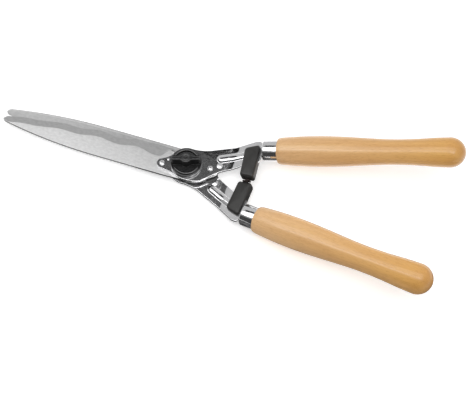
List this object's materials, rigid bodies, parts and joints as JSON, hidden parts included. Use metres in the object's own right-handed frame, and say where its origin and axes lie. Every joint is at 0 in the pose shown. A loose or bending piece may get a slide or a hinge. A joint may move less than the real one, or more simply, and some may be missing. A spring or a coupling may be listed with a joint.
{
  "type": "hedge shears",
  "caption": "Two-handed hedge shears with wavy-edged steel blades, chromed cranked arms, an adjusting knob, rubber buffers and turned wooden handles.",
  "frame": {"origin": "on the pivot axis, at the centre of the pivot bolt head's flat outer face", "axes": "+X from the blade tips towards the handles, +Y across to the front lever's handle, +Z along the pivot axis towards the adjusting knob"},
  "size_m": [0.5449, 0.1898, 0.0926],
  "materials": {
    "blade_steel": "fine brushed bright steel with a darker ground bevel",
    "chrome": "polished chrome plate",
    "fastener_steel": "bright zinc-plated steel",
    "brass": "turned brass",
    "buffer_rubber": "matt moulded black rubber",
    "pad_rubber": "matt dark red-brown rubber",
    "knob_plastic": "satin moulded black plastic",
    "lacquered_wood": "turned beech under clear gloss lacquer"
  },
  "bodies": {
    "rear_lever": {"rear_blade": "blade_steel", "rear_arm": "chrome", "rear_nose_rivet": "fastener_steel", "rear_locating_pin": "fastener_steel", "rear_heel_rivet": "fastener_steel", "rear_buffer": "buffer_rubber", "rear_buffer_pad": "pad_rubber", "rear_buffer_screw": "fastener_steel", "rear_ferrule": "chrome", "rear_handle": "lacquered_wood", "pivot_bolt": "fastener_steel", "friction_disc": "knob_plastic"},
    "front_lever": {"front_blade": "blade_steel", "front_arm": "chrome", "front_nose_rivet": "fastener_steel", "front_locating_pin": "fastener_steel", "front_heel_rivet": "fastener_steel", "front_buffer": "buffer_rubber", "front_buffer_pad": "pad_rubber", "front_buffer_screw": "fastener_steel", "front_ferrule": "chrome", "front_handle": "lacquered_wood", "pivot_bush": "brass"},
    "knob_seat": {"spring_washer": "fastener_steel", "tab_washer": "fastener_steel"},
    "knob": {"adjusting_knob": "knob_plastic", "knob_insert": "brass"}
  },
  "joints": [
    {"name": "blade_pivot", "type": "hinge", "parent": "rear_lever", "child": "front_lever", "pos_m": [0, 0, 0.01], "axis": [0, 0, 1], "range_deg": [0, 90]},
    {"name": "knob_travel", "type": "slide", "parent": "rear_lever", "child": "knob_seat", "axis": [0, 0, 1], "range_m": [0, 0.00283]},
    {"name": "knob_turn", "type": "hinge", "parent": "knob_seat", "child": "knob", "pos_m": [0, 0, 0.02], "axis": [0, 0, 1], "range_deg": [0, 810]}
  ],
  "couplings": [
    {"joint": "knob_travel", "follows": "knob_turn", "m_per_rad": 0.00019894}
  ]
}
